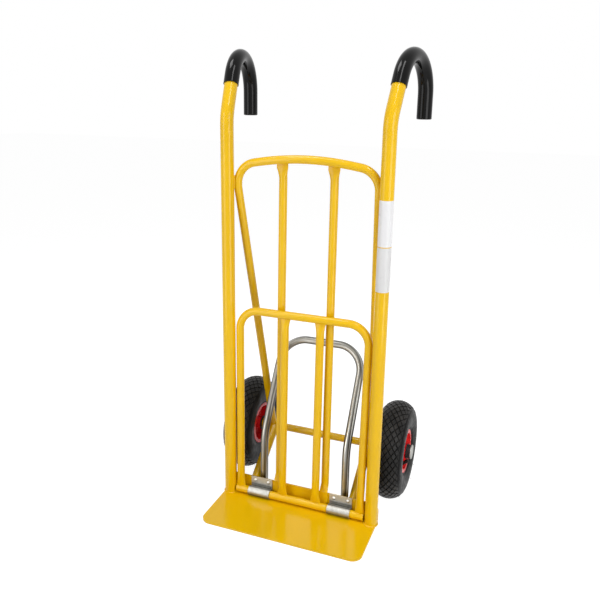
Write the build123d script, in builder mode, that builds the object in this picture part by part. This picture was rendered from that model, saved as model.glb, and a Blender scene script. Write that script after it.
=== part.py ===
"""Hand truck with two pneumatic wheels and a folding load frame, built piece by piece.

Sizes are in millimetres. X runs to the right as seen from the front, Y to the back and Z up.
The origin is on the floor, in the middle of the truck's width and length.
Distances called "back" are measured from the middle line of the uprights.
"""

import math
import os

from build123d import *

# Tubes of the welded frame
UPRIGHT_DIAMETER = 32.0
UPRIGHT_WALL = 1.5
TUBE_DIAMETER = 20.0
TUBE_WALL = 1.5
WELD_BITE = 0.3

# Uprights with their hooked handles
UPRIGHT_SPACING = 392.0
KINK_HEIGHT = 996.0
KINK_RADIUS = 100.0
HANDLE_SLANT = 26.4
HANDLE_SPLAY = 9.25
HANDLE_RISE = 104.0
HOOK_RADIUS = 83.6
HANDLE_TIP_LENGTH = 55.0

# Sleeves on the handles
GRIP_START = 80.0
GRIP_WALL = 2.2
GRIP_END_THICKNESS = 3.0
GRIP_END_ROUNDING = 3.0

# Toe plate with its upturned flange
PLATE_WIDTH = 420.0
PLATE_REACH = 152.0
PLATE_THICKNESS = 5.0
PLATE_CORNER = 26.0
FLANGE_HEIGHT = 50.0
FLANGE_CORNER = 20.0
PLATE_BEND = 6.0

# Arch between the uprights, which runs on as the two braces
ARCH_BACK = 14.5
ARCH_HEIGHT = 902.3
ARCH_BOW_RADIUS = 680.0
ARCH_BOW_REACH = 105.0
ARCH_CORNER_RADIUS = 52.0
BRACE_BEND_DROP = 72.3
BRACE_BEND_RADIUS = 45.0
BRACE_FOOT_SPACING = 286.8

# Lower struts from the axle to the flange
STRUT_DIAMETER = 25.0
STRUT_FOOT_HEIGHT = 22.5
SADDLE_STEP = 4.0

# Centre bars, with flattened ends
CENTRE_BAR_SPACING = 128.2
BAR_FOOT_STEP = 8.3
BAR_TOP_STEP = 2.2
TOP_FLAT_THICKNESS = 4.0
TOP_FLAT_LENGTH = 15.0
FOOT_FLAT_WIDTH = 21.0
FOOT_FLAT_THICKNESS = 4.0
FOOT_FLAT_BOTTOM = 20.0
FOOT_FLAT_TOP = 54.0
FOOT_FLAT_CORNER = 9.0
FLAT_TAPER = 20.0
PINCH_TAPER = 24.0
PINCH_POWER = 1.6
PINCH_STEPS = 5

# Axle, collars, washers and push-on caps
AXLE_BACK = 168.0
AXLE_DIAMETER = 20.0
AXLE_TAIL = 1.7
COLLAR_DIAMETER = 33.0
COLLAR_LENGTH = 12.0
WASHER_DIAMETER = 37.0
WASHER_THICKNESS = 7.0
CAP_DIAMETER = 38.0
CAP_CROWN = 1.5
END_PLAY = 0.5

# Wheels
WHEEL_SPACING = 422.0
TYRE_DIAMETER = 260.0
TYRE_WIDTH = 82.0
TYRE_WAIST_RADIUS = 91.0
TREAD_HALF_WIDTH = 30.0
TREAD_EDGE_RADIUS = 119.0
TYRE_WALL = 6.0
BEAD_WIDTH = 11.0
RIM_SEAT_RADIUS = 51.0
RIM_LIP_RADIUS = 57.5
RIM_WIDTH = 66.0
RIM_SHEET = 2.0
RIM_LIP_ROUNDING = 0.9
RIM_DISH_ROUNDING = 8.0
INNER_TUBE_WALL = 1.5
INNER_TUBE_GAP = 0.3
HUB_DIAMETER = 37.0
HUB_LENGTH = 75.0
HUB_BORE = 23.0
HUB_SHOULDER_DIAMETER = 54.0
HUB_SHOULDER_THICKNESS = 4.0
BEARING_DIAMETER = 28.0
BEARING_LENGTH = 22.0
BEARING_FLANGE_DIAMETER = 40.0
BEARING_FLANGE_THICKNESS = 4.0
RUNNING_CLEARANCE = 0.05
RIM_BOLT_CIRCLE = 68.0
RIM_BOLT_COUNT = 4
RIM_BOLT_DIAMETER = 6.0
RIM_BOLT_HEAD_FLATS = 10.0
RIM_BOLT_HEAD_HEIGHT = 4.0
RIM_NUT_HEIGHT = 5.0
VALVE_DIAMETER = 8.0
VALVE_LENGTH = 28.0
VALVE_ROOT = 6.0
VALVE_OFFSET = 12.0
VALVE_LEAN = 48.0
VALVE_CAP_DIAMETER = 10.0
VALVE_CAP_LENGTH = 8.0
HOLE_CLEARANCE = 0.2

# Loop behind the frame, bolted between the lower struts
LOOP_SPACING = 228.0
LOOP_BACK = 38.0
LOOP_FOOT_HEIGHT = 24.0
LOOP_BEND_HEIGHT = 172.0
LOOP_BEND_RADIUS = 110.0
LOOP_LEAN = 30.8
LOOP_HEIGHT = 401.0
LOOP_CORNER_RADIUS = 70.0
LOOP_BOLT_DIAMETER = 6.0
LOOP_BOLT_STEP = 3.0
LOOP_BOLT_HEAD_FLATS = 10.0
LOOP_BOLT_HEAD_HEIGHT = 4.0
LOOP_NUT_HEIGHT = 5.0
LOOP_BOLT_TAIL = 2.0
LOOP_WASHER_DIAMETER = 12.0
LOOP_WASHER_THICKNESS = 2.0

# Folding load frame
FOLD_LEG_SPACING = 331.0
FOLD_TOP_SPACING = 338.0
FOLD_HEIGHT = 522.8
FOLD_CORNER_RADIUS = 51.0
FOLD_BAR_SPACING = 92.0
FOLD_REST_GAP = 0.4
FOLD_FOOT_THICKNESS = 10.0
FOLD_FOOT_TAPER = 54.0
FOLD_BAR_FOOT_THICKNESS = 4.0
FOLD_BAR_FOOT_TAPER = 40.0
FOLD_WELD_BITE = 2.0
FOLD_TOP_THICKNESS = 3.0
FOLD_TOP_TAPER = 36.0
HINGE_BAR_LENGTH = 354.0
HINGE_BACK = 0.0

# Hinge straps and their rivets
STRAP_SPACING = 222.0
STRAP_WIDTH = 60.0
STRAP_THICKNESS = 2.2
STRAP_LIP = 2.5
STRAP_GAP = 0.35
STRAP_FLOOR_GAP = 0.15
STRAP_NECK_HEIGHT = 9.0
RIVET_PITCH = 38.0
RIVET_HEIGHT = 42.5
RIVET_DIAMETER = 6.0
RIVET_HEAD_DIAMETER = 10.4
RIVET_HEAD_HEIGHT = 3.2
RIVET_TAIL_DIAMETER = 9.0
RIVET_TAIL_HEIGHT = 2.0

# Places that follow from the sizes above
UPRIGHT_RADIUS = UPRIGHT_DIAMETER / 2
TUBE_RADIUS = TUBE_DIAMETER / 2
AXLE_RADIUS = AXLE_DIAMETER / 2
TYRE_RADIUS = TYRE_DIAMETER / 2
UPRIGHT_X = UPRIGHT_SPACING / 2
UPRIGHT_Y = (PLATE_REACH - AXLE_BACK - TYRE_RADIUS) / 2
FLANGE_FRONT = UPRIGHT_RADIUS - WELD_BITE
FLANGE_REAR = FLANGE_FRONT + PLATE_THICKNESS
ARCH_LEG_X = UPRIGHT_X - math.sqrt(
    (UPRIGHT_RADIUS + TUBE_RADIUS - WELD_BITE) ** 2 - ARCH_BACK**2
)
WHEEL_X = WHEEL_SPACING / 2
HUB_OUTER_X = WHEEL_X + HUB_LENGTH / 2
HUB_INNER_X = WHEEL_X - HUB_LENGTH / 2
CAP_X = HUB_OUTER_X + END_PLAY + WASHER_THICKNESS
AXLE_END = CAP_X + AXLE_TAIL
STRUT_RADIUS = STRUT_DIAMETER / 2
LOOP_X = LOOP_SPACING / 2
STRUT_X = LOOP_X + TUBE_RADIUS + LOOP_WASHER_THICKNESS + STRUT_RADIUS
STRAP_BORE = TUBE_RADIUS + STRAP_GAP
STRAP_RADIUS = STRAP_BORE + STRAP_THICKNESS
HINGE_HEIGHT = PLATE_THICKNESS + STRAP_FLOOR_GAP + STRAP_RADIUS
BAR_FOOT_BACK = FLANGE_FRONT + BAR_FOOT_STEP
BAR_TOP_BACK = ARCH_BACK + TUBE_DIAMETER - WELD_BITE - BAR_TOP_STEP
BAR_LEAN = math.atan2(BAR_TOP_BACK - BAR_FOOT_BACK, ARCH_HEIGHT - FLANGE_HEIGHT)
REST_BACK = BAR_FOOT_BACK + (FOLD_HEIGHT - FLANGE_HEIGHT) * math.tan(BAR_LEAN)
FOLD_LEAN = math.degrees(
    math.asin((REST_BACK - TUBE_DIAMETER - FOLD_REST_GAP - HINGE_BACK) / (FOLD_HEIGHT - HINGE_HEIGHT))
)
UP = Vector(0, 0, 1)


def place(x, back, height):
    """A point given by its distance behind the middle line of the uprights."""
    return Vector(x, UPRIGHT_Y + back, height)


def bend(before, corner, after, radius):
    """Start, middle and end of the round bend that a tube makes at a corner of its path."""
    into = (corner - before).normalized()
    onward = (after - corner).normalized()
    half_turn = math.radians(into.get_angle(onward)) / 2
    reach = radius * math.tan(half_turn)
    depth = radius / math.cos(half_turn) - radius
    middle = corner + (onward - into).normalized() * depth
    return corner - into * reach, middle, corner + onward * reach


def bent_path(corners, radii):
    """Middle line of a tube: straight runs joined by round bends at the inner corners."""
    with BuildLine() as path:
        here = corners[0]
        for step, radius in enumerate(radii):
            start, middle, end = bend(*corners[step : step + 3], radius)
            Line(here, start)
            ThreePointArc(start, middle, end)
            here = end
        Line(here, corners[-1])
    return path.wires()[0]


def swept_rod(path, radius):
    """A round rod along a path."""
    with BuildPart() as rod:
        with BuildSketch(Plane(origin=path @ 0, z_dir=path % 0)):
            Circle(radius)
        sweep(path=path)
    return rod.part


def swept_tube(path, radius, wall):
    """A round tube along a path, open at both ends."""
    with BuildPart() as tube:
        with BuildSketch(Plane(origin=path @ 0, z_dir=path % 0)):
            Circle(radius)
            Circle(radius - wall, mode=Mode.SUBTRACT)
        sweep(path=path)
    return tube.part


def pinched_end(round_middle, flat_middle, way, flat_thickness):
    """A tube's end, squeezed from round to flat, which grows as wide as the tube's rim allows."""
    with BuildPart() as end:
        for step in range(PINCH_STEPS + 1):
            share = step / PINCH_STEPS
            thickness = TUBE_DIAMETER - (TUBE_DIAMETER - flat_thickness) * share**PINCH_POWER
            middle = round_middle + (flat_middle - round_middle) * share
            with BuildSketch(Plane(origin=middle, x_dir=(1, 0, 0), z_dir=way)):
                Ellipse(pinched_width(thickness) / 2, thickness / 2)
        loft()
    return end.part


def pinched_width(thickness):
    """Width of a tube that is squeezed to a thickness, with its rim as long as before."""
    return thickness + (TUBE_DIAMETER - thickness) * math.pi / 2


def mirrored(part):
    """The same piece on the other side of the truck's middle plane."""
    with BuildPart() as twin:
        add(part)
        mirror(about=Plane.YZ, mode=Mode.REPLACE)
    return twin.part


def save(part, name):
    """Write one piece to its own file under its plain name."""
    part.label = name
    export_step(part, f"parts/{name}.step")


os.makedirs("parts", exist_ok=True)

# Toe plate: one bent sheet, rounded at the front corners and at the flange's ends
with BuildPart() as toe_plate:
    with BuildSketch(Plane.YZ.offset(-PLATE_WIDTH / 2)):
        with BuildLine():
            Polyline(
                (UPRIGHT_Y - PLATE_REACH, 0),
                (UPRIGHT_Y + FLANGE_REAR, 0),
                (UPRIGHT_Y + FLANGE_REAR, FLANGE_HEIGHT),
                (UPRIGHT_Y + FLANGE_FRONT, FLANGE_HEIGHT),
                (UPRIGHT_Y + FLANGE_FRONT, PLATE_THICKNESS),
                (UPRIGHT_Y - PLATE_REACH, PLATE_THICKNESS),
                close=True,
            )
        make_face()
    extrude(amount=PLATE_WIDTH)
    fillet(toe_plate.edges().filter_by(Axis.X).group_by(Axis.Z)[0].sort_by(Axis.Y)[-1], PLATE_BEND)
    fillet(toe_plate.edges().filter_by(Axis.Z).group_by(Axis.Y)[0], PLATE_CORNER)
    fillet(toe_plate.edges().filter_by(Axis.Y).group_by(Axis.Z)[-1], FLANGE_CORNER)
    rivet_planes = [
        Plane(origin=place(side * (STRAP_SPACING / 2 + step), FLANGE_FRONT, RIVET_HEIGHT), z_dir=(0, 1, 0))
        for side in (-1, 1)
        for step in (-RIVET_PITCH / 2, RIVET_PITCH / 2)
    ]
    for rivet_plane in rivet_planes:
        with BuildSketch(rivet_plane):
            Circle(RIVET_DIAMETER / 2)
        extrude(amount=PLATE_THICKNESS, mode=Mode.SUBTRACT)

# Right upright: straight tube, a kink to the back, then the hook of the handle
handle_back = Vector(math.sin(math.radians(HANDLE_SPLAY)), math.cos(math.radians(HANDLE_SPLAY)), 0)
slant = math.radians(HANDLE_SLANT)
handle_way = handle_back * math.sin(slant) + UP * math.cos(slant)
upright_foot = place(UPRIGHT_X, 0, PLATE_THICKNESS)
kink_corner = place(UPRIGHT_X, 0, KINK_HEIGHT)
hook_start = kink_corner + handle_way * HANDLE_RISE
hook_centre = hook_start + (handle_back * math.cos(slant) - UP * math.sin(slant)) * HOOK_RADIUS
hook_end = hook_centre + handle_back * HOOK_RADIUS
hook_half_turn = (math.pi - slant) / 2
hook_middle = (
    hook_centre + (handle_back * math.cos(hook_half_turn) + UP * math.sin(hook_half_turn)) * HOOK_RADIUS
)
handle_tip = hook_end - UP * HANDLE_TIP_LENGTH
kink_start, kink_middle, kink_end = bend(upright_foot, kink_corner, hook_start, KINK_RADIUS)

with BuildLine() as upright_line:
    Line(upright_foot, kink_start)
    ThreePointArc(kink_start, kink_middle, kink_end)
    Line(kink_end, hook_start)
    ThreePointArc(hook_start, hook_middle, hook_end)
    Line(hook_end, handle_tip)
upright_path = upright_line.wires()[0]
upright_filled = swept_rod(upright_path, UPRIGHT_RADIUS)

with BuildPart() as right_upright:
    add(swept_tube(upright_path, UPRIGHT_RADIUS, UPRIGHT_WALL))
    add(toe_plate.part, mode=Mode.SUBTRACT)

# Right grip: a sleeve over the hook with a closed, rounded end
grip_tip = handle_tip - UP * GRIP_END_THICKNESS
with BuildLine() as grip_line:
    Line(kink_corner + handle_way * GRIP_START, hook_start)
    ThreePointArc(hook_start, hook_middle, hook_end)
    Line(hook_end, grip_tip)

with BuildPart() as right_grip:
    add(swept_rod(grip_line.wires()[0], UPRIGHT_RADIUS + GRIP_WALL))
    fillet(right_grip.edges().sort_by(Axis.Z)[0], GRIP_END_ROUNDING)
    add(upright_filled, mode=Mode.SUBTRACT)

# Axle: one round bar through both wheels
axle_centre = place(0, AXLE_BACK, TYRE_RADIUS)
axle_line = Axis(axle_centre, (1, 0, 0))
axle_plane = Plane(origin=axle_centre, x_dir=(0, 1, 0), z_dir=(1, 0, 0))

with BuildPart() as axle:
    with BuildSketch(axle_plane):
        Circle(AXLE_RADIUS)
    extrude(amount=AXLE_END, both=True)

# Arch and braces: one tube bent up, over and down again, cut to sit on the axle
bow_slope = math.asin(ARCH_BOW_REACH / ARCH_BOW_RADIUS)
bow_apex = ARCH_HEIGHT + ARCH_BOW_RADIUS * (1 / math.cos(bow_slope) - 1)
corner_height = bow_apex - ARCH_LEG_X * math.tan(bow_slope)
brace_top = place(ARCH_LEG_X, ARCH_BACK, ARCH_HEIGHT - BRACE_BEND_DROP)
brace_aim = place(BRACE_FOOT_SPACING / 2, AXLE_BACK, TYRE_RADIUS)
brace_foot = brace_aim + (brace_top - brace_aim).normalized() * SADDLE_STEP
right_half = [brace_foot, brace_top, place(ARCH_LEG_X, ARCH_BACK, corner_height)]
left_half = [Vector(-corner.X, corner.Y, corner.Z) for corner in right_half]
arch_corners = left_half + [place(0, ARCH_BACK, bow_apex)] + right_half[::-1]
side_radii = [BRACE_BEND_RADIUS, ARCH_CORNER_RADIUS]
arch_path = bent_path(arch_corners, side_radii + [ARCH_BOW_RADIUS] + side_radii[::-1])
arch_filled = swept_rod(arch_path, TUBE_RADIUS)

with BuildPart() as arch_tube:
    add(swept_tube(arch_path, TUBE_RADIUS, TUBE_WALL))
    add(upright_filled, mode=Mode.SUBTRACT)
    add(mirrored(upright_filled), mode=Mode.SUBTRACT)
    add(axle.part, mode=Mode.SUBTRACT)

# Right lower strut: a straight tube from the axle to the back of the flange
strut_aim = place(STRUT_X, AXLE_BACK, TYRE_RADIUS)
strut_foot = place(STRUT_X, FLANGE_REAR, STRUT_FOOT_HEIGHT)
strut_way = (strut_foot - strut_aim).normalized()
strut_path = bent_path([strut_aim + strut_way * SADDLE_STEP, strut_foot + strut_way * STRUT_DIAMETER], [])
loop_bolt_back = LOOP_BACK - LOOP_BOLT_STEP
loop_bolt_height = STRUT_FOOT_HEIGHT + (loop_bolt_back - FLANGE_REAR) * (
    (TYRE_RADIUS - STRUT_FOOT_HEIGHT) / (AXLE_BACK - FLANGE_REAR)
)
loop_bolt_plane = Plane(origin=place(0, loop_bolt_back, loop_bolt_height), x_dir=(0, 1, 0), z_dir=(1, 0, 0))

with BuildPart() as right_lower_strut:
    add(swept_tube(strut_path, STRUT_RADIUS, TUBE_WALL))
    add(axle.part, mode=Mode.SUBTRACT)
    add(arch_filled, mode=Mode.SUBTRACT)
    with BuildSketch(Plane(origin=place(STRUT_X, FLANGE_REAR, STRUT_FOOT_HEIGHT), z_dir=(0, -1, 0))):
        Rectangle(PLATE_WIDTH, 2 * TYRE_RADIUS)
    extrude(amount=PLATE_REACH, mode=Mode.SUBTRACT)
    with BuildSketch(loop_bolt_plane):
        Circle(LOOP_BOLT_DIAMETER / 2 + HOLE_CLEARANCE)
    extrude(amount=WHEEL_X, mode=Mode.SUBTRACT)

# Right centre bar: upper end flattened against the back of the arch, lower end against the flange
centre_bar_x = CENTRE_BAR_SPACING / 2
arch_drop = ARCH_BOW_RADIUS - math.sqrt(ARCH_BOW_RADIUS**2 - centre_bar_x**2)
bar_top = ARCH_HEIGHT - arch_drop + TUBE_RADIUS / 2
top_flat_start = bar_top - TUBE_RADIUS - TOP_FLAT_LENGTH
top_flat_back = ARCH_BACK + TUBE_RADIUS + TOP_FLAT_THICKNESS / 2 - WELD_BITE
foot_flat_back = FLANGE_FRONT - FOOT_FLAT_THICKNESS / 2
bar_way = Vector(0, math.sin(BAR_LEAN), math.cos(BAR_LEAN))
bar_origin = place(centre_bar_x, BAR_FOOT_BACK, FLANGE_HEIGHT)
bar_low = bar_origin + bar_way * (FOOT_FLAT_TOP + FLAT_TAPER - FLANGE_HEIGHT)
bar_high = bar_origin + bar_way * (top_flat_start - PINCH_TAPER - FLANGE_HEIGHT)
bar_path = bent_path([bar_low, bar_high], [])
top_flat_slip = (ARCH_HEIGHT - arch_drop - top_flat_start) * math.tan(BAR_LEAN)
top_flat_middle = place(centre_bar_x, top_flat_back - top_flat_slip, top_flat_start)


def level(x, back, height):
    """A level sketch plane at a point, with its own x to the right and y to the back."""
    return Plane(origin=place(x, back, height))


def upright_sheet(x, back, height):
    """A sketch plane that faces the front, with its own x to the right and y up."""
    return Plane(origin=place(x, back, height), x_dir=(1, 0, 0), z_dir=(0, -1, 0))


with BuildPart() as right_centre_bar:
    add(swept_tube(bar_path, TUBE_RADIUS, TUBE_WALL))
    add(pinched_end(bar_high, top_flat_middle, bar_way, TOP_FLAT_THICKNESS))
    with BuildSketch(Plane(origin=top_flat_middle, x_dir=(1, 0, 0), z_dir=bar_way)):
        Ellipse(pinched_width(TOP_FLAT_THICKNESS) / 2, TOP_FLAT_THICKNESS / 2)
    extrude(amount=bar_top - top_flat_start)
    with BuildSketch(level(centre_bar_x, foot_flat_back, FOOT_FLAT_TOP)):
        Rectangle(FOOT_FLAT_WIDTH, FOOT_FLAT_THICKNESS)
    with BuildSketch(Plane(origin=bar_low, x_dir=(1, 0, 0), z_dir=bar_way)):
        Circle(TUBE_RADIUS)
    loft()
    foot_middle = (FOOT_FLAT_TOP + FOOT_FLAT_BOTTOM) / 2
    with BuildSketch(upright_sheet(centre_bar_x, FLANGE_FRONT, foot_middle)) as foot_outline:
        Rectangle(FOOT_FLAT_WIDTH, FOOT_FLAT_TOP - FOOT_FLAT_BOTTOM)
        fillet(foot_outline.vertices().group_by(Axis.Y)[0], FOOT_FLAT_CORNER)
    extrude(amount=FOOT_FLAT_THICKNESS)
    add(arch_filled, mode=Mode.SUBTRACT)

# Right collar, spacer washer and cap on the axle: what keeps the wheel in its place
with BuildPart() as right_axle_collar:
    with BuildSketch(axle_plane.offset(HUB_INNER_X - END_PLAY - COLLAR_LENGTH)):
        Circle(COLLAR_DIAMETER / 2)
        Circle(AXLE_RADIUS, mode=Mode.SUBTRACT)
    extrude(amount=COLLAR_LENGTH)

with BuildPart() as right_axle_washer:
    with BuildSketch(axle_plane.offset(HUB_OUTER_X + END_PLAY)):
        Circle(WASHER_DIAMETER / 2)
        Circle(AXLE_RADIUS, mode=Mode.SUBTRACT)
    extrude(amount=WASHER_THICKNESS)

with BuildPart() as right_axle_cap:
    with BuildSketch(axle_plane.offset(CAP_X)):
        Circle(CAP_DIAMETER / 2)
    extrude(amount=AXLE_TAIL + CAP_CROWN)
    fillet(right_axle_cap.edges().sort_by(Axis.X)[-1], CAP_CROWN)
    add(axle.part, mode=Mode.SUBTRACT)

# Right wheel: profiles are drawn as distance along the axle and distance from it
wheel_plane = Plane(origin=place(WHEEL_X, AXLE_BACK, TYRE_RADIUS), x_dir=(1, 0, 0), z_dir=(0, -1, 0))
rim_half_width = RIM_WIDTH / 2
bead_x = rim_half_width - RIM_SHEET
lip_clear = RIM_LIP_RADIUS + 2 * WELD_BITE
tyre_half_width = TYRE_WIDTH / 2
cavity_edge_x = TREAD_HALF_WIDTH - TYRE_WALL
cavity_edge_radius = TREAD_EDGE_RADIUS - TYRE_WALL
cavity_waist_x = tyre_half_width - TYRE_WALL
cavity_crown = TYRE_RADIUS - TYRE_WALL
bead_inner_x = bead_x - BEAD_WIDTH


wheel_line = Axis(wheel_plane.origin, wheel_plane.x_dir)


def cavity_ring(inset):
    """The hollow inside the tyre as a solid ring, drawn smaller by the inset."""
    foot_x = bead_inner_x - inset
    floor = RIM_SEAT_RADIUS + inset
    edge_x = cavity_edge_x - inset
    edge_radius = cavity_edge_radius - inset
    waist_x = cavity_waist_x - inset
    with BuildPart() as cavity:
        with BuildSketch(wheel_plane):
            with BuildLine():
                Line((-foot_x, floor), (foot_x, floor))
                ThreePointArc((foot_x, floor), (waist_x, TYRE_WAIST_RADIUS), (edge_x, edge_radius))
                ThreePointArc((edge_x, edge_radius), (0, cavity_crown - inset), (-edge_x, edge_radius))
                ThreePointArc((-edge_x, edge_radius), (-waist_x, TYRE_WAIST_RADIUS), (-foot_x, floor))
            make_face()
        revolve(axis=wheel_line)
    return cavity.part


with BuildPart() as right_tyre:
    with BuildSketch(wheel_plane):
        with BuildLine():
            Line((-bead_x, RIM_SEAT_RADIUS), (bead_x, RIM_SEAT_RADIUS))
            Line((bead_x, RIM_SEAT_RADIUS), (bead_x, lip_clear))
            ThreePointArc(
                (bead_x, lip_clear),
                (tyre_half_width, TYRE_WAIST_RADIUS),
                (TREAD_HALF_WIDTH, TREAD_EDGE_RADIUS),
            )
            ThreePointArc(
                (TREAD_HALF_WIDTH, TREAD_EDGE_RADIUS),
                (0, TYRE_RADIUS),
                (-TREAD_HALF_WIDTH, TREAD_EDGE_RADIUS),
            )
            ThreePointArc(
                (-TREAD_HALF_WIDTH, TREAD_EDGE_RADIUS),
                (-tyre_half_width, TYRE_WAIST_RADIUS),
                (-bead_x, lip_clear),
            )
            Line((-bead_x, lip_clear), (-bead_x, RIM_SEAT_RADIUS))
        make_face()
    revolve(axis=wheel_line)
    add(cavity_ring(0), mode=Mode.SUBTRACT)

with BuildPart() as right_inner_tube:
    add(cavity_ring(INNER_TUBE_GAP))
    add(cavity_ring(INNER_TUBE_GAP + INNER_TUBE_WALL), mode=Mode.SUBTRACT)

# Valve: leans out of the dish, straight down when the truck stands
valve_lean = math.radians(VALVE_LEAN)
valve_way = Vector(math.sin(valve_lean), 0, math.cos(valve_lean))
valve_root = Vector(WHEEL_X + VALVE_OFFSET, axle_centre.Y, TYRE_RADIUS - RIM_SEAT_RADIUS)
valve_plane = Plane(origin=valve_root - valve_way * VALVE_ROOT, x_dir=(0, 1, 0), z_dir=valve_way)

with BuildPart() as right_valve:
    with BuildSketch(valve_plane):
        Circle(VALVE_DIAMETER / 2)
    extrude(amount=VALVE_LENGTH + VALVE_ROOT)
    add(cavity_ring(INNER_TUBE_GAP), mode=Mode.SUBTRACT)

with BuildPart() as right_valve_cap:
    with BuildSketch(valve_plane.offset(VALVE_ROOT + VALVE_LENGTH)):
        Circle(VALVE_CAP_DIAMETER / 2)
    extrude(amount=VALVE_CAP_LENGTH)
    fillet(right_valve_cap.edges().filter_by(GeomType.CIRCLE).sort_by(Axis.X)[-1], RIM_LIP_ROUNDING)
    add(right_valve.part, mode=Mode.SUBTRACT)


def rim_half(side):
    """One pressed half of the rim: lip, bead seat and disc, on the given side of the wheel."""
    with BuildPart() as half:
        with BuildSketch(wheel_plane) as profile:
            with BuildLine():
                Polyline(
                    (0, HUB_DIAMETER / 2),
                    (0, RIM_SEAT_RADIUS),
                    (side * bead_x, RIM_SEAT_RADIUS),
                    (side * bead_x, RIM_LIP_RADIUS),
                    (side * rim_half_width, RIM_LIP_RADIUS),
                    (side * rim_half_width, RIM_SEAT_RADIUS - RIM_SHEET),
                    (side * RIM_SHEET, RIM_SEAT_RADIUS - RIM_SHEET),
                    (side * RIM_SHEET, HUB_DIAMETER / 2),
                    close=True,
                )
            make_face()
            dish_bottom = Vector(side * RIM_SHEET, RIM_SEAT_RADIUS - RIM_SHEET)
            dish_corner = profile.vertices().sort_by_distance(dish_bottom)[0]
            fillet(dish_corner, RIM_DISH_ROUNDING)
        revolve(axis=wheel_line)
        for bolt_plane in rim_bolt_planes:
            with BuildSketch(bolt_plane):
                Circle(RIM_BOLT_DIAMETER / 2 + HOLE_CLEARANCE)
            extrude(amount=RIM_WIDTH, both=True, mode=Mode.SUBTRACT)
    return half.part


rim_bolt_planes = [
    Plane(
        origin=wheel_plane.origin
        + Vector(0, math.cos(turn), math.sin(turn)) * (RIM_BOLT_CIRCLE / 2),
        x_dir=(0, math.cos(turn), math.sin(turn)),
        z_dir=(1, 0, 0),
    )
    for turn in [math.pi * (2 * step + 1) / RIM_BOLT_COUNT for step in range(RIM_BOLT_COUNT)]
]

with BuildPart() as right_outer_rim:
    add(rim_half(1))
    with BuildSketch(valve_plane):
        Circle(VALVE_DIAMETER / 2 + HOLE_CLEARANCE)
    extrude(amount=VALVE_LENGTH, mode=Mode.SUBTRACT)

with BuildPart() as right_inner_rim:
    add(rim_half(-1))

hub_tube_start = HUB_INNER_X + BEARING_FLANGE_THICKNESS
hub_tube_length = HUB_LENGTH - 2 * BEARING_FLANGE_THICKNESS
bearing_starts = [hub_tube_start, hub_tube_start + hub_tube_length - BEARING_LENGTH]
flange_starts = [HUB_INNER_X, HUB_OUTER_X - BEARING_FLANGE_THICKNESS]
with BuildPart() as right_hub:
    with BuildSketch(axle_plane.offset(hub_tube_start)):
        Circle(HUB_DIAMETER / 2)
    extrude(amount=hub_tube_length)
    with BuildSketch(axle_plane.offset(WHEEL_X + RIM_SHEET)):
        Circle(HUB_SHOULDER_DIAMETER / 2)
    extrude(amount=HUB_SHOULDER_THICKNESS)
    with BuildSketch(axle_plane.offset(hub_tube_start)):
        Circle(HUB_BORE / 2)
    extrude(amount=hub_tube_length, mode=Mode.SUBTRACT)
    with BuildSketch(*[axle_plane.offset(start) for start in bearing_starts]):
        Circle(BEARING_DIAMETER / 2)
    extrude(amount=BEARING_LENGTH, mode=Mode.SUBTRACT)

with BuildPart() as right_bearings:
    with BuildSketch(*[axle_plane.offset(start) for start in bearing_starts]):
        Circle(BEARING_DIAMETER / 2)
    extrude(amount=BEARING_LENGTH)
    with BuildSketch(*[axle_plane.offset(start) for start in flange_starts]):
        Circle(BEARING_FLANGE_DIAMETER / 2)
    extrude(amount=BEARING_FLANGE_THICKNESS)
    with BuildSketch(axle_plane.offset(HUB_INNER_X)):
        Circle(AXLE_RADIUS + RUNNING_CLEARANCE)
    extrude(amount=HUB_LENGTH, mode=Mode.SUBTRACT)

with BuildPart() as right_rim_bolts:
    for bolt_plane in rim_bolt_planes:
        with BuildSketch(bolt_plane.offset(RIM_SHEET)):
            RegularPolygon(RIM_BOLT_HEAD_FLATS / 2, 6, major_radius=False)
        extrude(amount=RIM_BOLT_HEAD_HEIGHT)
        with BuildSketch(bolt_plane.offset(-RIM_SHEET - RIM_NUT_HEIGHT)):
            Circle(RIM_BOLT_DIAMETER / 2)
        extrude(amount=2 * RIM_SHEET + RIM_NUT_HEIGHT)

with BuildPart() as right_rim_nuts:
    for bolt_plane in rim_bolt_planes:
        with BuildSketch(bolt_plane.offset(-RIM_SHEET)):
            RegularPolygon(RIM_BOLT_HEAD_FLATS / 2, 6, major_radius=False)
            Circle(RIM_BOLT_DIAMETER / 2, mode=Mode.SUBTRACT)
        extrude(amount=-RIM_NUT_HEIGHT)

# Loop: one bent tube that leans to the back above the axle, with a bolt hole low in each leg
loop_rise = LOOP_HEIGHT - LOOP_BEND_HEIGHT
loop_top_back = LOOP_BACK + loop_rise * math.tan(math.radians(LOOP_LEAN))
loop_right = [
    place(LOOP_X, LOOP_BACK, LOOP_FOOT_HEIGHT),
    place(LOOP_X, LOOP_BACK, LOOP_BEND_HEIGHT),
    place(LOOP_X, loop_top_back, LOOP_HEIGHT),
]
loop_left = [Vector(-corner.X, corner.Y, corner.Z) for corner in loop_right]
loop_radii = [LOOP_BEND_RADIUS, LOOP_CORNER_RADIUS, LOOP_CORNER_RADIUS, LOOP_BEND_RADIUS]
loop_path = bent_path(loop_left + loop_right[::-1], loop_radii)

with BuildPart() as tilt_loop:
    add(swept_tube(loop_path, TUBE_RADIUS, TUBE_WALL))
    with BuildSketch(loop_bolt_plane):
        Circle(LOOP_BOLT_DIAMETER / 2 + HOLE_CLEARANCE)
    extrude(amount=WHEEL_X, both=True, mode=Mode.SUBTRACT)

loop_inner_x = LOOP_X - TUBE_RADIUS
loop_outer_x = LOOP_X + TUBE_RADIUS
strut_outer_x = STRUT_X + STRUT_RADIUS

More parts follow.
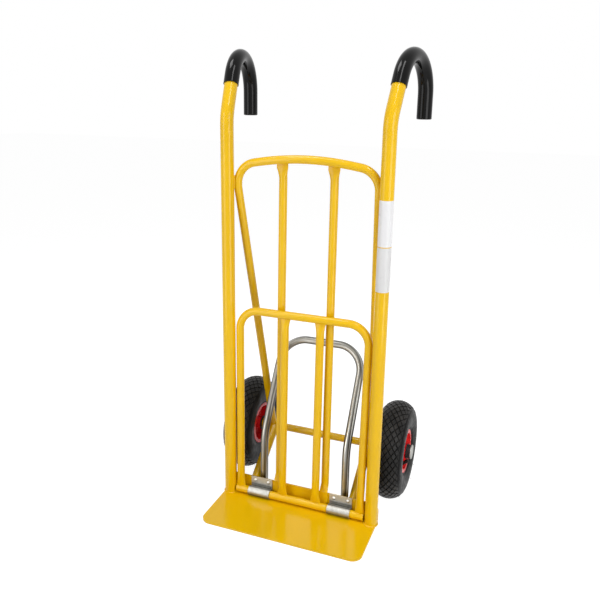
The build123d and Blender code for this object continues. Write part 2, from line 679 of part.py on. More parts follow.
with BuildPart() as right_loop_bolt:
    with BuildSketch(loop_bolt_plane.offset(loop_inner_x)):
        RegularPolygon(LOOP_BOLT_HEAD_FLATS / 2, 6, major_radius=False)
    extrude(amount=-LOOP_BOLT_HEAD_HEIGHT)
    with BuildSketch(loop_bolt_plane.offset(loop_inner_x)):
        Circle(LOOP_BOLT_DIAMETER / 2)
    extrude(amount=strut_outer_x - loop_inner_x + LOOP_NUT_HEIGHT + LOOP_BOLT_TAIL)

with BuildPart() as right_loop_washer:
    with BuildSketch(loop_bolt_plane.offset(loop_outer_x)):
        Circle(LOOP_WASHER_DIAMETER / 2)
        Circle(LOOP_BOLT_DIAMETER / 2, mode=Mode.SUBTRACT)
    extrude(amount=LOOP_WASHER_THICKNESS)

with BuildPart() as right_loop_nut:
    with BuildSketch(loop_bolt_plane.offset(strut_outer_x)):
        RegularPolygon(LOOP_BOLT_HEAD_FLATS / 2, 6, major_radius=False)
        Circle(LOOP_BOLT_DIAMETER / 2, mode=Mode.SUBTRACT)
    extrude(amount=LOOP_NUT_HEIGHT)

# Right hinge strap: a leaf on the flange and a knuckle round the hinge bar
strap_x = STRAP_SPACING / 2
hinge_point = place(0, HINGE_BACK, HINGE_HEIGHT)
hinge_line = Axis(hinge_point, (1, 0, 0))
strap_plane = Plane(origin=hinge_point, x_dir=(0, 1, 0), z_dir=(1, 0, 0)).offset(strap_x - STRAP_WIDTH / 2)
leaf_back = FLANGE_FRONT - HINGE_BACK
leaf_front = leaf_back - STRAP_THICKNESS
leaf_height = FLANGE_HEIGHT + STRAP_LIP - HINGE_HEIGHT + STRAP_NECK_HEIGHT

with BuildPart() as right_hinge_strap:
    with BuildSketch(strap_plane):
        Circle(STRAP_RADIUS)
        with Locations((leaf_front, -STRAP_NECK_HEIGHT)):
            Rectangle(STRAP_THICKNESS, leaf_height, align=(Align.MIN, Align.MIN))
        with Locations((0, -STRAP_NECK_HEIGHT)):
            Rectangle(leaf_back, STRAP_NECK_HEIGHT, align=(Align.MIN, Align.MIN))
        Circle(STRAP_BORE, mode=Mode.SUBTRACT)
    extrude(amount=STRAP_WIDTH)
    for rivet_plane in rivet_planes:
        with BuildSketch(rivet_plane):
            Circle(RIVET_DIAMETER / 2)
        extrude(amount=-STRAP_THICKNESS, mode=Mode.SUBTRACT)

# Rivets: a domed head on the strap, a flat tail behind the flange
dome_radius = (RIVET_HEAD_DIAMETER**2 / 4 + RIVET_HEAD_HEIGHT**2) / (2 * RIVET_HEAD_HEIGHT)
with BuildPart() as hinge_rivets:
    for rivet_plane in rivet_planes:
        side_plane = Plane(origin=rivet_plane.origin, x_dir=(0, 1, 0), z_dir=(1, 0, 0))
        with BuildSketch(side_plane):
            with BuildLine():
                Polyline(
                    (-STRAP_THICKNESS - RIVET_HEAD_HEIGHT, 0),
                    (PLATE_THICKNESS + RIVET_TAIL_HEIGHT, 0),
                    (PLATE_THICKNESS + RIVET_TAIL_HEIGHT, RIVET_TAIL_DIAMETER / 2),
                    (PLATE_THICKNESS, RIVET_TAIL_DIAMETER / 2),
                    (PLATE_THICKNESS, RIVET_DIAMETER / 2),
                    (-STRAP_THICKNESS, RIVET_DIAMETER / 2),
                    (-STRAP_THICKNESS, RIVET_HEAD_DIAMETER / 2),
                )
                RadiusArc(
                    (-STRAP_THICKNESS, RIVET_HEAD_DIAMETER / 2),
                    (-STRAP_THICKNESS - RIVET_HEAD_HEIGHT, 0),
                    -dome_radius,
                )
            make_face()
        revolve(axis=Axis(rivet_plane.origin, (0, 1, 0)))

# Folding frame, drawn standing straight over the hinge bar and then leant back to its rest
with BuildPart() as hinge_bar:
    with BuildSketch(Plane(origin=hinge_point, z_dir=(1, 0, 0))):
        Circle(TUBE_RADIUS)
        Circle(TUBE_RADIUS - TUBE_WALL, mode=Mode.SUBTRACT)
    extrude(amount=HINGE_BAR_LENGTH / 2, both=True)

with BuildPart() as hinge_bar_filled:
    with BuildSketch(Plane(origin=hinge_point, z_dir=(1, 0, 0))):
        Circle(TUBE_RADIUS)
    extrude(amount=HINGE_BAR_LENGTH / 2, both=True)

fold_weld_rise = TUBE_RADIUS - FOLD_WELD_BITE
hoop_foot = place(FOLD_LEG_SPACING / 2, HINGE_BACK, HINGE_HEIGHT)
hoop_corner = place(FOLD_TOP_SPACING / 2, HINGE_BACK, FOLD_HEIGHT)
hoop_way = (hoop_corner - hoop_foot).normalized()
hoop_low = hoop_foot + hoop_way * FOLD_FOOT_TAPER
hoop_right = [hoop_low, hoop_corner]
hoop_left = [Vector(-corner.X, corner.Y, corner.Z) for corner in hoop_right]
hoop_path = bent_path(hoop_left + hoop_right[::-1], [FOLD_CORNER_RADIUS, FOLD_CORNER_RADIUS])
hoop_filled = swept_rod(hoop_path, TUBE_RADIUS)


def leant_back(part):
    """The piece turned about the hinge bar to where the frame rests on the centre bars."""
    return part.rotate(hinge_line, -FOLD_LEAN)


with BuildPart() as hoop_right_foot:
    add(pinched_end(hoop_low, hoop_foot + hoop_way * fold_weld_rise, hoop_way, FOLD_FOOT_THICKNESS))

with BuildPart() as folding_hoop:
    add(swept_tube(hoop_path, TUBE_RADIUS, TUBE_WALL))
    add(hoop_right_foot.part)
    add(mirrored(hoop_right_foot.part))
    add(hinge_bar_filled.part, mode=Mode.SUBTRACT)

folding_bar_foot = place(FOLD_BAR_SPACING / 2, HINGE_BACK, HINGE_HEIGHT)
folding_bar_top = place(FOLD_BAR_SPACING / 2, HINGE_BACK, FOLD_HEIGHT)
folding_bar_low = folding_bar_foot + UP * FOLD_BAR_FOOT_TAPER
folding_bar_high = folding_bar_top - UP * FOLD_TOP_TAPER

with BuildPart() as folding_right_bar:
    add(swept_tube(bent_path([folding_bar_low, folding_bar_high], []), TUBE_RADIUS, TUBE_WALL))
    add(pinched_end(folding_bar_low, folding_bar_foot + UP * fold_weld_rise, UP, FOLD_BAR_FOOT_THICKNESS))
    add(pinched_end(folding_bar_high, folding_bar_top - UP * fold_weld_rise, UP, FOLD_TOP_THICKNESS))
    add(hinge_bar_filled.part, mode=Mode.SUBTRACT)
    add(hoop_filled, mode=Mode.SUBTRACT)

# Every piece to its own file, the left-hand ones as mirror images
save(toe_plate.part, "toe_plate")
save(arch_tube.part, "arch_tube")
save(axle.part, "axle")
save(tilt_loop.part, "tilt_loop")
save(hinge_rivets.part, "hinge_rivets")
save(hinge_bar.part, "hinge_bar")
save(leant_back(folding_hoop.part), "folding_hoop")

right_hand_pieces = {
    "upright": right_upright.part,
    "grip": right_grip.part,
    "lower_strut": right_lower_strut.part,
    "centre_bar": right_centre_bar.part,
    "axle_collar": right_axle_collar.part,
    "axle_washer": right_axle_washer.part,
    "axle_cap": right_axle_cap.part,
    "hinge_strap": right_hinge_strap.part,
    "loop_bolt": right_loop_bolt.part,
    "loop_washer": right_loop_washer.part,
    "loop_nut": right_loop_nut.part,
    "folding_bar": leant_back(folding_right_bar.part),
    "tyre": right_tyre.part,
    "inner_tube": right_inner_tube.part,
    "valve": right_valve.part,
    "valve_cap": right_valve_cap.part,
    "outer_rim": right_outer_rim.part,
    "inner_rim": right_inner_rim.part,
    "hub": right_hub.part,
    "bearings": right_bearings.part,
    "rim_bolts": right_rim_bolts.part,
    "rim_nuts": right_rim_nuts.part,
}
for name, part in right_hand_pieces.items():
    save(part, f"right_{name}")
    save(mirrored(part), f"left_{name}")
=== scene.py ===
"""Hand truck with a folding load frame: the looks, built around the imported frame.

Everything is in metres unless its note says millimetres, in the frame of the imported
model: +X to the right as seen from the front, +Y to the back where the wheels are, and
+Z up.
"""

import logging
import math
from collections.abc import Iterable, Mapping, Sequence
from dataclasses import dataclass, replace
from enum import Enum

import bmesh
import bpy
from mathutils import Matrix, Vector


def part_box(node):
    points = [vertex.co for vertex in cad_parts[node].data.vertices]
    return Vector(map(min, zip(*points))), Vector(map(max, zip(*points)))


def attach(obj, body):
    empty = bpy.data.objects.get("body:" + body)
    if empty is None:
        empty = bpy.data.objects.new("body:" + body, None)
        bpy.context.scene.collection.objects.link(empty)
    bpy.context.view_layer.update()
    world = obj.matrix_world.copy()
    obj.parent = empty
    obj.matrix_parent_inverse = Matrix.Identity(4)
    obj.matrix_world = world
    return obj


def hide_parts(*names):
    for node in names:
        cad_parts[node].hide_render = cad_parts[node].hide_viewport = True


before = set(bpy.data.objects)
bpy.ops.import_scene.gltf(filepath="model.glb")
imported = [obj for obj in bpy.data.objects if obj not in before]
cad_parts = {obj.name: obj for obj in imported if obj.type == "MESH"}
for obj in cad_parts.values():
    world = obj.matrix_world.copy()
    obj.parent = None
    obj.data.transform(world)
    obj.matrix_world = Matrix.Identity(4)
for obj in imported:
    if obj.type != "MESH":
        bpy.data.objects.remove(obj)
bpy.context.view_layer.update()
LOG = logging.getLogger("hand_truck")
MM = 0.001
Colour = tuple[float, float, float]
Point = tuple[float, float, float]
Pair = tuple[float, float]
Grain = tuple[float, float, float, float]
Mesh = bpy.types.Mesh
Socket = bpy.types.NodeSocket
JOIN_DISTANCE = 1e-7
# The right upright, in millimetres
UPRIGHT_X = 196.0
UPRIGHT_Y = -73.0
UPRIGHT_RADIUS = 16.0


class Side(Enum):
    """The two sides of the truck, as seen from the front."""

    LEFT = -1
    RIGHT = 1

    @property
    def word(self) -> str:
        """The side's word at the start of a node's name."""
        return self.name.lower()


class Body(Enum):
    """The rigid bodies that a piece can ride on."""

    FRAME = "frame"
    FOLDING = "folding_frame"
    LEFT_WHEEL = "left_wheel"
    RIGHT_WHEEL = "right_wheel"


class Wiring:
    """Adds the nodes of one node tree and links them."""

    SPACING = 190

    def __init__(self, tree: bpy.types.NodeTree) -> None:
        """Starts on the shader or geometry node tree to fill."""
        self.tree = tree

    def add(self, kind: str, inputs: Mapping | None = None, **settings: object) -> bpy.types.Node:
        """Adds one node.

        Args:
            kind: The node's type name.
            inputs: Values or sockets for its inputs, by input name or number.
            settings: Values for the node's own properties.

        Returns:
            The new node.
        """
        node = self.tree.nodes.new(kind)
        node.location = (self.SPACING * len(self.tree.nodes), 0)
        for name, value in settings.items():
            setattr(node, name, value)
        for name, value in (inputs or {}).items():
            self.feed(node.inputs[name], value)
        return node

    def feed(self, socket: Socket, value: object) -> None:
        """Links an input to another node's output, or sets its value.

        Args:
            socket: The input.
            value: Another node's output, or a plain value.
        """
        if isinstance(value, Socket):
            self.tree.links.new(value, socket)
        else:
            socket.default_value = value

    def math(self, operation: str, *values: object) -> Socket:
        """Adds a Math node that works on numbers or sockets, and gives the result's socket."""
        return self.add("ShaderNodeMath", dict(enumerate(values)), operation=operation).outputs[0]


class Paint(Wiring):
    """Wiring for a surface: a shader, and patterns that are placed by Object coordinates."""

    # Heights of a face's normal over which painted shade fades out, from facing down to facing up.
    SHADED_FACING = (-0.75, 0.25)
    EDGE_SAMPLES = 6

    def __init__(self, tree: bpy.types.NodeTree) -> None:
        """Starts on a shader tree, with its coordinates and its shader at hand.

        Args:
            tree: The shader tree to fill.
        """
        super().__init__(tree)
        self.coordinates = self.add("ShaderNodeTexCoord")
        self.shader = self.add("ShaderNodeBsdfPrincipled")

    def set(self, name: str, value: object) -> None:
        """Gives one of the shader's inputs a value or another node's output."""
        self.feed(self.shader.inputs[name], value)

    def noise(
        self, scale: float, detail: float = 2.0, stretch: Point = (1, 1, 1), where: str = "Object"
    ) -> Socket:
        """A noise pattern.

        Args:
            scale: How many times the pattern repeats in a metre.
            detail: How many finer layers it has.
            stretch: Factors along X, Y and Z.
            where: The coordinates that it lies on.

        Returns:
            The pattern's value, around 0.5.
        """
        place = self.add("ShaderNodeMapping", {"Vector": self.coordinates.outputs[where], "Scale": stretch})
        node = self.add("ShaderNodeTexNoise", {"Vector": place.outputs[0], "Scale": scale, "Detail": detail})
        return node.outputs[0]

    def span(self, value: Socket, low: float, high: float, start: float = 0.3, stop: float = 0.7) -> Socket:
        """Stretches a pattern to a range.

        Args:
            value: The pattern.
            low: The result where the pattern is at start.
            high: The result where the pattern is at stop.
            start: The pattern's lower end.
            stop: The pattern's upper end.

        Returns:
            The stretched value.
        """
        limits = {"Value": value, "From Min": start, "From Max": stop, "To Min": low, "To Max": high}
        return self.add("ShaderNodeMapRange", limits).outputs[0]

    def blend(self, share: Socket, first: object, second: object) -> Socket:
        """Mixes two colours.

        Args:
            share: How much of the second colour shows.
            first: A colour or a socket.
            second: A colour or a socket.

        Returns:
            The mixed colour.
        """
        node = self.add("ShaderNodeMix", data_type="RGBA")
        self.feed(node.inputs[0], share)
        for socket, colour in zip((node.inputs[6], node.inputs[7]), (first, second)):
            self.feed(socket, colour if isinstance(colour, Socket) else (*colour, 1.0))
        return node.outputs[2]

    def relief(
        self, height: Socket, depth: float, strength: float = 1.0, under: Socket | None = None
    ) -> Socket:
        """Turns a pattern into small bumps.

        Args:
            height: The pattern.
            depth: The bumps' height in metres.
            strength: How much of the bumps shows.
            under: Another relief that this one lies on.

        Returns:
            The normal for the shader.
        """
        inputs = {"Height": height, "Distance": depth, "Strength": strength}
        if under is not None:
            inputs["Normal"] = under
        return self.add("ShaderNodeBump", inputs).outputs[0]

    def bands(self, value: Socket, stops: Sequence[Pair]) -> Socket:
        """A smooth run of light and dark bands over the range from -1 to 1.

        Args:
            value: Where on the run a point lies.
            stops: Places on the run, each with its tone.

        Returns:
            The tone, from 0 to 1.
        """
        node = self.add("ShaderNodeFloatCurve", {"Value": self.span(value, 0.0, 1.0, -1.0, 1.0)})
        points = node.mapping.curves[0].points
        while len(points) < len(stops):
            points.new(0.5, 0.5)
        for point, (where, tone) in zip(points, stops):
            point.location = ((where + 1) / 2, tone)
        node.mapping.update()
        return node.outputs[0]

    def underside(self) -> Socket:
        """1 where a surface faces down, for painted shade there, and 0 where it faces up."""
        facing = self.add("ShaderNodeSeparateXYZ", {0: self.coordinates.outputs["Normal"]})
        return self.span(facing.outputs["Z"], 1.0, 0.0, *self.SHADED_FACING)

    def soft_edges(self, radius: float) -> Socket:
        """The normal of a surface whose edges are broken by a small radius in metres."""
        return self.add("ShaderNodeBevel", {"Radius": radius}, samples=self.EDGE_SAMPLES).outputs[0]


@dataclass(frozen=True)
class Finish:
    """A finish with a name. Each kind of finish wires its own shader."""

    name: str
    slot: str

    def material(self) -> bpy.types.Material:
        """Makes the finish's material on first use.

        Returns:
            The material.
        """
        known = bpy.data.materials.get(self.name)
        if known is not None:
            return known
        made = bpy.data.materials.new(self.name)
        made.use_nodes = True
        made.node_tree.nodes.clear()
        paint = Paint(made.node_tree)
        self.wire(paint)
        paint.add("ShaderNodeOutputMaterial", {"Surface": paint.shader.outputs[0]})
        return made

    def wire(self, paint: Paint) -> None:
        """Sets the shader's inputs, in each kind of finish's own way."""
        raise NotImplementedError


@dataclass(frozen=True)
class Coat(Finish):
    """A coat that drifts between two tones and two degrees of gloss, with a fine grain and soft edges.

    The drift, the patches of gloss and the grain each start with how often they repeat in a metre and how
    many finer layers they have. The grain ends with its depth in metres and how much of it shows, and so
    does every relief.
    """

    deep: Colour
    light: Colour
    drift: tuple
    patches: tuple
    roughness: Pair
    grain: Grain
    shine: float = 0.5
    edge: float = 0.0

    def wire(self, paint: Paint) -> None:
        """Wires tone, gloss and relief.

        Args:
            paint: The tree's wiring.
        """
        tone = paint.span(paint.noise(*self.drift), 0.0, 1.0)
        paint.set("Base Color", paint.blend(tone, self.deep, self.light))
        paint.set("Roughness", paint.span(paint.noise(*self.patches), *self.roughness))
        paint.set("Specular IOR Level", self.shine)
        paint.set("Normal", self.relief(paint))

    def relief(self, paint: Paint) -> Socket:
        """Lays the grain over the softened edges, as the normal for the shader."""
        under = paint.soft_edges(self.edge) if self.edge else None
        return paint.relief(paint.noise(*self.grain[:2]), *self.grain[2:], under)


@dataclass(frozen=True)
class PowderCoat(Coat):
    """Baked gloss coat on steel: a faint orange peel with specks in it."""

    deep: Colour = (0.78, 0.468, 0.0)
    light: Colour = (0.83, 0.508, 0.003)
    drift: tuple = (7.0, 3.0)
    patches: tuple = (38.0, 3.0)
    roughness: Pair = (0.11, 0.18)
    grain: Grain = (260.0, 1.0, 0.00016, 0.1)
    shine: float = 0.3
    edge: float = 0.0008
    specks: Pair = (1500.0, 0.0)
    speck_ends: Pair = (0.72, 0.8)
    speck_relief: Pair = (0.00008, 0.3)

    def relief(self, paint: Paint) -> Socket:
        """Adds the specks to the orange peel."""
        specks = paint.span(paint.noise(*self.specks), 0.0, 1.0, *self.speck_ends)
        return paint.relief(specks, *self.speck_relief, super().relief(paint))


@dataclass(frozen=True)
class SleeveVinyl(Coat):
    """Dipped black vinyl on the handles: slight bloom, a pebbled skin and soft runs."""

    deep: Colour = (0.001, 0.001, 0.001)
    light: Colour = (0.003, 0.003, 0.003)
    drift: tuple = (24.0, 4.0)
    patches: tuple = (60.0, 3.0)
    roughness: Pair = (0.06, 0.11)
    grain: Grain = (700.0, 2.0, 0.0001, 0.12)
    shine: float = 0.16
    edge: float = 0.0012
    runs: Pair = (5.0, 2.0)
    run_relief: Pair = (0.0008, 0.1)

    def relief(self, paint: Paint) -> Socket:
        """Adds the runs to the skin."""
        runs = paint.noise(*self.runs, where="Normal")
        return paint.relief(runs, *self.run_relief, super().relief(paint))


@dataclass(frozen=True)
class DrawnSteel(Finish):
    """Bare drawn tube: bright, with painted reflections and shade as streaks that run along it.

    The bands paint reflection and shade by the way the wall faces: across for the legs, and up for the top.
    """

    # Painted reflection and painted shade: a tone for each way the wall faces, sideways for the legs, up for
    # the top.
    leg_painted_reflection: tuple[Pair, ...] = (
        (-1.0, 0.03), (-0.85, 0.12), (-0.6, 0.66), (-0.35, 0.48), (-0.1, 0.24),
        (0.12, 0.08), (0.3, 0.16), (0.5, 0.5), (0.72, 0.2), (1.0, 0.02),
    )
    top_painted_reflection: tuple[Pair, ...] = (
        (-1.0, 0.03), (-0.75, 0.05), (-0.56, 0.15), (-0.3, 0.38), (0.0, 0.72),
        (0.3, 0.45), (0.65, 0.26), (0.9, 0.18), (1.0, 0.08),
    )
    painted_reflection_sideways: Point = (0.934, 0.356, 0.0)
    top_half: Pair = (0.06, 0.1)
    # The dark and bright ends of the painted reflection.
    dark: Colour = (0.03, 0.029, 0.026)
    bright: Colour = (0.76, 0.75, 0.7)
    stain: Colour = (0.2, 0.185, 0.15)
    roughness: Pair = (0.26, 0.36)
    wobble: Pair = (9.0, 3.0)
    wobble_reach: float = 0.05
    stains: Pair = (16.0, 4.0)
    stain_share: float = 0.3
    grain: Grain = (500.0, 2.0, 0.00004, 0.15)

    def wire(self, paint: Paint) -> None:
        """Wires painted reflection and shade along the tube, as they lie on the direction its wall faces.

        Args:
            paint: The tree's wiring.
        """
        facing = paint.coordinates.outputs["Normal"]
        sideways = paint.add("ShaderNodeVectorMath", {0: facing, 1: self.painted_reflection_sideways}, operation="DOT_PRODUCT")
        upward = paint.add("ShaderNodeSeparateXYZ", {0: facing})
        place = paint.add("ShaderNodeSeparateXYZ", {0: paint.coordinates.outputs["Object"]})
        on_top = paint.span(paint.math("ABSOLUTE", place.outputs["X"]), 1.0, 0.0, *self.top_half)
        wobble = paint.span(paint.noise(*self.wobble), -self.wobble_reach, self.wobble_reach)
        # Painted reflection and shade on the legs and on the top, from the way each wall faces.
        legs = paint.bands(paint.math("ADD", sideways.outputs["Value"], wobble), self.leg_painted_reflection)
        top = paint.bands(paint.math("ADD", upward.outputs["Z"], wobble), self.top_painted_reflection)
        on_legs = paint.math("SUBTRACT", 1.0, on_top)
        tone = paint.math("ADD", paint.math("MULTIPLY", legs, on_legs), paint.math("MULTIPLY", top, on_top))
        steel = paint.blend(tone, self.dark, self.bright)
        stains = paint.noise(*self.stains)
        stained = paint.span(stains, 0.0, self.stain_share)
        paint.set("Base Color", paint.blend(stained, steel, self.stain))
        paint.set("Metallic", 1.0)
        paint.set("Roughness", paint.span(stains, *self.roughness))
        paint.set("Normal", paint.relief(paint.noise(*self.grain[:2]), *self.grain[2:]))


@dataclass(frozen=True)
class ZincPlate(Finish):
    """Zinc-plated steel: bright, soft mottling, fine scratches, painted shade below and in the straps'
    crease.
    """

    crease: float = 0.0303
    crease_height: float = 0.0035
    # Above the straps' crease the zinc turns part way to a lighter tone, set by height alone.
    upper_from: Pair = (0.003, 0.007)
    upper_share: float = 0.35
    # How far the painted shade in the straps' crease darkens the zinc.
    crease_shade_share: float = 0.75
    upper_tone: Colour = (0.86, 0.85, 0.81)
    bright: Colour = (0.52, 0.52, 0.49)
    dull: Colour = (0.38, 0.38, 0.355)
    # Painted shade: a colour for faces that turn down, then one for the straps' crease.
    underside_shade: Colour = (0.1, 0.095, 0.08)
    crease_shade: Colour = (0.06, 0.055, 0.045)
    roughness: Pair = (0.46, 0.56)
    mottle: Pair = (120.0, 4.0)
    mottle_relief: Pair = (0.00015, 0.06)
    patches: Pair = (70.0, 3.0)
    scratches: tuple = (240.0, 2.0, (0.06, 1.0, 1.0))
    scratch_relief: Pair = (0.00012, 0.2)
    edge: float = 0.0005
    crease_edge: float = 0.0005

    def wire(self, paint: Paint) -> None:
        """Wires mottling, painted shade, a lighter tone above the crease, scratches and broken edges.

        Args:
            paint: The tree's wiring.
        """
        mottle = paint.noise(*self.mottle)
        zinc = paint.blend(paint.span(mottle, 0.0, 1.0), self.dull, self.bright)
        # Painted shade: faces that turn down are darkened.
        with_underside_shade = paint.blend(paint.underside(), zinc, self.underside_shade)
        height = paint.add("ShaderNodeSeparateXYZ", {0: paint.coordinates.outputs["Object"]}).outputs["Z"]
        # A lighter tone above the crease, set by height alone.
        start, stop = (self.crease + rise for rise in self.upper_from)
        lighter_above = paint.blend(paint.span(height, 0.0, self.upper_share, start, stop), with_underside_shade, self.upper_tone)
        # Painted shade: a dark band at and just above the straps' crease line.
        above = paint.span(height, 0.0, 1.0, self.crease - self.crease_edge, self.crease)
        below = paint.span(height, self.crease_shade_share, 0.0, self.crease, self.crease + self.crease_height)
        crease_shade_band = paint.math("MULTIPLY", above, below)
        paint.set("Base Color", paint.blend(crease_shade_band, lighter_above, self.crease_shade))
        paint.set("Metallic", 1.0)
        paint.set("Roughness", paint.span(paint.noise(*self.patches), *self.roughness))
        scratches = paint.noise(*self.scratches)
        scored = paint.relief(scratches, *self.scratch_relief, paint.soft_edges(self.edge))
        paint.set("Normal", paint.relief(mottle, *self.mottle_relief, scored))


@dataclass(frozen=True)
class Rubber(Finish):
    """Moulded rubber: charcoal, dusty, with a fine grain."""

    dark: Colour = (0.012, 0.0115, 0.011)
    dusty: Colour = (0.03, 0.0285, 0.027)
    matt: float = 0.6
    matt_reach: float = 0.1
    grain: Grain = (1100.0, 2.0, 0.00025, 0.35)
    shine: float = 0.14
    dust: Pair = (45.0, 4.0)
    clouds: Pair = (9.0, 2.0)
    cloud_range: Pair = (0.7, 1.3)
    patches: Pair = (80.0, 3.0)

    def wire(self, paint: Paint) -> None:
        """Wires dust, dullness and grain.

        Args:
            paint: The tree's wiring.
        """
        clouds = paint.span(paint.noise(*self.clouds), *self.cloud_range)
        dust = paint.math("MULTIPLY", paint.noise(*self.dust), clouds)
        paint.set("Base Color", paint.blend(paint.span(dust, 0.0, 1.0), self.dark, self.dusty))
        low, high = self.matt - self.matt_reach, self.matt + self.matt_reach
        paint.set("Roughness", paint.span(paint.noise(*self.patches), low, high))
        paint.set("Specular IOR Level", self.shine)
        paint.set("Normal", paint.relief(paint.noise(*self.grain[:2]), *self.grain[2:]))


YELLOW = PowderCoat("yellow_powder_coat", "yellow_coat")
VINYL = SleeveVinyl("black_sleeve", "grip_sleeve")
STEEL = DrawnSteel("drawn_steel", "bare_tube")
ZINC = ZincPlate("zinc_plate", "zinc")
# A darker copy of the zinc for the axle caps: painted shade that dims their reflection.
SHADED_CAP_ZINC = ZincPlate("shaded_zinc_plate", "zinc", upper_tone=(0.5, 0.5, 0.47), bright=(0.46, 0.46, 0.43))
TREAD = Rubber("tread_rubber", "tyre", (0.009, 0.0087, 0.0085), (0.03, 0.0285, 0.027), 0.42)
CARCASS = Rubber("carcass_rubber", "tyre", (0.001, 0.001, 0.001), (0.008, 0.0076, 0.0072), 0.45, shine=0.1)
SMALL_RUBBER = Rubber("small_rubber", "valve_rubber", matt=0.5)
AIR_TUBE = Rubber("air_tube_rubber", "inner_tube", matt=0.55)
# Gloss enamel on the pressed rims and the hubs, with a soft sag
RED = Coat(
    "red_enamel", "red_rim", deep=(0.66, 0.012, 0.018), light=(0.8, 0.024, 0.03), drift=(30.0, 3.0),
    patches=(60.0, 2.0), roughness=(0.2, 0.32), grain=(300.0, 1.0, 0.0001, 0.25), shine=0.22, edge=0.0007,
)
# A lighter copy of the red for the outer rims: painted light.
LIT_RED = replace(RED, name="lit_red_enamel", deep=(0.84, 0.024, 0.026), light=(0.93, 0.045, 0.042))
# Black moulded plastic of the bushes and spacers, with a spark-eroded grain
PLASTIC = Coat(
    "black_plastic", "hub_plastic", deep=(0.007, 0.007, 0.007), light=(0.016, 0.016, 0.016),
    drift=(50.0, 3.0), patches=(90.0, 2.0), roughness=(0.38, 0.55), grain=(1300.0, 1.0, 0.0001, 0.4),
    edge=0.0008,
)
# Blank pale film, stuck on: faint upright streaks and a slightly uneven surface
WHITE_FILM = Coat(
    "white_label", "yellow_coat", deep=(0.744, 0.744, 0.7533), light=(0.8, 0.8, 0.81),
    drift=(60.0, 3.0, (1.0, 1.0, 0.2)), patches=(90.0, 2.0), roughness=(0.25, 0.4),
    grain=(500.0, 2.0, 0.00005, 0.3), shine=0.3,
)
GREY_FILM = replace(WHITE_FILM, name="grey_label", deep=(0.651, 0.651, 0.651), light=(0.7, 0.7, 0.7))


def dress(finish: Finish, *nodes: str) -> None:
    """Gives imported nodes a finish.

    Args:
        finish: The finish.
        nodes: The nodes' names.
    """
    for name in nodes:
        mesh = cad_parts[name].data
        mesh.materials.clear()
        mesh.materials.append(finish.material())
    LOG.info("%s on %d nodes", finish.name, len(nodes))


def add_object(name: str, data: bpy.types.ID) -> bpy.types.Object:
    """Puts a mesh, a lamp or a camera into the scene.

    Args:
        name: The object's name.
        data: What it shows.

    Returns:
        The new object.
    """
    made = bpy.data.objects.new(name, data)
    bpy.context.scene.collection.objects.link(made)
    return made


def add_piece(
    name: str, mesh: Mesh, finish: Finish, body: Body, stands_for: Sequence[str] = ()
) -> None:
    """Puts a finished mesh into the scene as a piece of the object.

    Args:
        name: The piece's name.
        mesh: Its mesh, already in place.
        finish: Its finish.
        body: The body that it moves with.
        stands_for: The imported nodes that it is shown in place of.
    """
    mesh.name = name
    mesh.materials.clear()
    mesh.materials.append(finish.material())
    piece = add_object(name, mesh)
    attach(piece, body.value)
    if stands_for:
        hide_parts(*stands_for)
    LOG.info("%s: %d faces, on %s", name, len(mesh.polygons), body.value)


def to_mesh(name: str, shape: bmesh.types.BMesh, smooth_angle: float = 40.0) -> Mesh:
    """Joins a shape's doubled points, turns its faces outwards and makes it a mesh.

    Args:
        name: The mesh's name.
        shape: The shape, which is used up.
        smooth_angle: Edges sharper than this, in degrees, stay sharp.

    Returns:
        The mesh.
    """
    bmesh.ops.remove_doubles(shape, verts=shape.verts, dist=JOIN_DISTANCE)
    bmesh.ops.recalc_face_normals(shape, faces=shape.faces)
    for face in shape.faces:
        face.smooth = True
    for edge in shape.edges:
        edge.smooth = len(edge.link_faces) != 2 or edge.calc_face_angle(0.0) < math.radians(smooth_angle)
    mesh = bpy.data.meshes.new(name)
    shape.to_mesh(mesh)
    shape.free()
    return mesh


